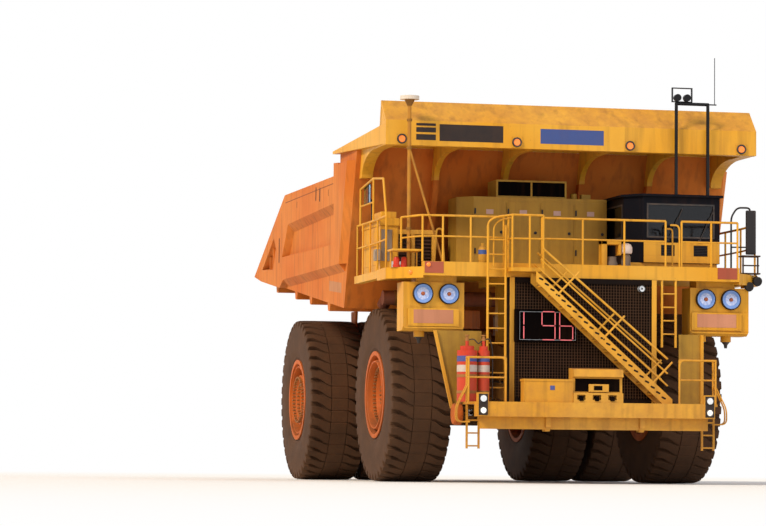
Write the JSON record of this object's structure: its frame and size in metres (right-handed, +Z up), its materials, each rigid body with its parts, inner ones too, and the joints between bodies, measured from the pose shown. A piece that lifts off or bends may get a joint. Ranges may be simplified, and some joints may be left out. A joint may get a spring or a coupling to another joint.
{
  "type": "mining dump truck",
  "caption": "Rigid-frame mining dump truck with a tipping dump body and canopy, steered front wheels, rear dual wheels, cab, deck, stair and telescopic hoists.",
  "frame": {"origin": "on the ground under the middle of the overall length and width", "axes": "+Z up, -Y is the front of the truck, +X is its left side"},
  "size_m": [8.6, 15.14, 9.03],
  "materials": {
    "frame_paint": "dusty satin paint",
    "yellow_paint": "satin paint, dusty",
    "guard_mesh": "dark painted mesh",
    "dark_metal": "oily cast metal",
    "ochre_paint": "satin paint under dust",
    "cab_paint": "satin dark blue paint",
    "cab_glass": "tinted glass",
    "cab_trim": "grained plastic",
    "cabinet_paint": "satin drab yellow paint",
    "exhaust_metal": "heat-faded paint",
    "mast_paint": "dusty pale paint",
    "black_paint": "black paint",
    "lamp_lens": "clear lamp lens",
    "red_paint": "gloss red paint",
    "body_paint": "worn orange paint",
    "amber_lens": "amber lens",
    "polished_steel": "polished rod",
    "tyre_rubber": "rubber under brown dust",
    "rim_paint": "orange-yellow paint, dusty"
  },
  "bodies": {
    "chassis": {"frame": "frame_paint", "bumper": "yellow_paint", "radiator": "guard_mesh", "engine": "dark_metal", "suspension_struts": "ochre_paint", "rear_axle": "ochre_paint", "deck": "yellow_paint", "handrails": "yellow_paint", "stair": "yellow_paint", "cab": "cab_paint", "cab_glass": "cab_glass", "cab_interior": "cab_trim", "control_cabinet": "cabinet_paint", "grid_box": "yellow_paint", "air_cleaners": "yellow_paint", "tanks": "yellow_paint", "exhaust": "exhaust_metal", "masts": "mast_paint", "mirrors": "black_paint", "lamps": "lamp_lens", "fire_bottles": "red_paint", "bumper_boxes": "yellow_paint"},
    "door": {"cab_door": "cab_paint", "door_glass": "cab_glass"},
    "bed": {"dump_body": "body_paint", "body_beams": "body_paint", "canopy": "yellow_paint", "canopy_lamps": "amber_lens"},
    "hoist_barrel": {"hoist_barrels": "ochre_paint"},
    "hoist_stage": {"hoist_stages": "polished_steel"},
    "hoist_rod": {"hoist_rods": "polished_steel"},
    "left_knuckle": {"knuckle_left": "ochre_paint"},
    "right_knuckle": {"knuckle_right": "ochre_paint"},
    "steering_link": {"tie_rod": "ochre_paint"},
    "left_steering_barrel": {"steering_barrel_left": "ochre_paint"},
    "right_steering_barrel": {"steering_barrel_right": "ochre_paint"},
    "left_steering_rod": {"steering_rod_left": "polished_steel"},
    "right_steering_rod": {"steering_rod_right": "polished_steel"},
    "front_left_wheel": {"front_tyre_left": "tyre_rubber", "front_rim_left": "rim_paint"},
    "front_right_wheel": {"front_tyre_right": "tyre_rubber", "front_rim_right": "rim_paint"},
    "rear_left_wheels": {"rear_tyres_left": "tyre_rubber", "rear_rims_left": "rim_paint"},
    "rear_right_wheels": {"rear_tyres_right": "tyre_rubber", "rear_rims_right": "rim_paint"}
  },
  "joints": [
    {"name": "body_tip", "type": "hinge", "parent": "chassis", "child": "bed", "pos_m": [0, 4.38, 3.3], "axis": [-1, 0, 0], "range_deg": [0, 45]},
    {"name": "hoist_swing", "type": "hinge", "parent": "chassis", "child": "hoist_barrel", "pos_m": [1.45, 0.68, 1.6], "axis": [-1, 0, 0], "range_deg": [0, 22]},
    {"name": "hoist_extend_stage", "type": "slide", "parent": "hoist_barrel", "child": "hoist_stage", "axis": [0, -0.1339, 0.991], "range_m": [0, 1.43]},
    {"name": "hoist_extend_rod", "type": "slide", "parent": "hoist_stage", "child": "hoist_rod", "axis": [0, -0.1339, 0.991], "range_m": [0, 1.43]},
    {"name": "cab_door_swing", "type": "hinge", "parent": "chassis", "child": "door", "pos_m": [3.232, -5.27, 5.3], "axis": [0, 0, -1], "range_deg": [0, 75]},
    {"name": "steer_left", "type": "hinge", "parent": "chassis", "child": "left_knuckle", "pos_m": [1.95, -2.92, 1.86], "axis": [0, 0, 1], "range_deg": [-30, 30]},
    {"name": "steer_right", "type": "hinge", "parent": "chassis", "child": "right_knuckle", "pos_m": [-1.95, -2.92, 1.86], "axis": [0, 0, 1], "range_deg": [-30, 30]},
    {"name": "tie_rod_swing", "type": "hinge", "parent": "left_knuckle", "child": "steering_link", "pos_m": [1.95, -2.17, 1.5], "axis": [0, 0, 1], "range_deg": [-30, 30]},
    {"name": "steering_barrel_left_swing", "type": "hinge", "parent": "chassis", "child": "left_steering_barrel", "pos_m": [1, -4.52, 1.5], "axis": [0, 0, -1], "range_deg": [-2.5, 2.5]},
    {"name": "steering_barrel_right_swing", "type": "hinge", "parent": "chassis", "child": "right_steering_barrel", "pos_m": [-1, -4.52, 1.5], "axis": [0, 0, -1], "range_deg": [-2.5, 2.5]},
    {"name": "steering_rod_left_slide", "type": "slide", "parent": "left_steering_barrel", "child": "left_steering_rod", "axis": [0.2983, 0.9545, 0], "range_m": [-0.212, 0.212]},
    {"name": "steering_rod_right_slide", "type": "slide", "parent": "right_steering_barrel", "child": "right_steering_rod", "axis": [-0.2983, 0.9545, 0], "range_m": [-0.212, 0.212]},
    {"name": "front_left_roll", "type": "hinge", "parent": "left_knuckle", "child": "front_left_wheel", "pos_m": [2.975, -2.92, 1.86], "axis": [1, 0, 0], "continuous": true},
    {"name": "front_right_roll", "type": "hinge", "parent": "right_knuckle", "child": "front_right_wheel", "pos_m": [-2.975, -2.92, 1.86], "axis": [1, 0, 0], "continuous": true},
    {"name": "rear_left_roll", "type": "hinge", "parent": "chassis", "child": "rear_left_wheels", "pos_m": [2.66, 3.43, 1.86], "axis": [1, 0, 0], "continuous": true},
    {"name": "rear_right_roll", "type": "hinge", "parent": "chassis", "child": "rear_right_wheels", "pos_m": [-2.66, 3.43, 1.86], "axis": [1, 0, 0], "continuous": true}
  ],
  "couplings": [
    {"joint": "hoist_swing", "follows": "body_tip", "ratio": 0.48539},
    {"joint": "hoist_extend_stage", "follows": "body_tip", "m_per_rad": 1.8198},
    {"joint": "hoist_extend_rod", "follows": "body_tip", "m_per_rad": 1.8198},
    {"joint": "steer_right", "follows": "steer_left", "ratio": 1},
    {"joint": "tie_rod_swing", "follows": "steer_left", "ratio": -1},
    {"joint": "steering_barrel_left_swing", "follows": "steer_left", "ratio": 0.074876},
    {"joint": "steering_barrel_right_swing", "follows": "steer_left", "ratio": 0.074876},
    {"joint": "steering_rod_left_slide", "follows": "steer_left", "m_per_rad": -0.40128},
    {"joint": "steering_rod_right_slide", "follows": "steer_left", "m_per_rad": 0.40128}
  ]
}
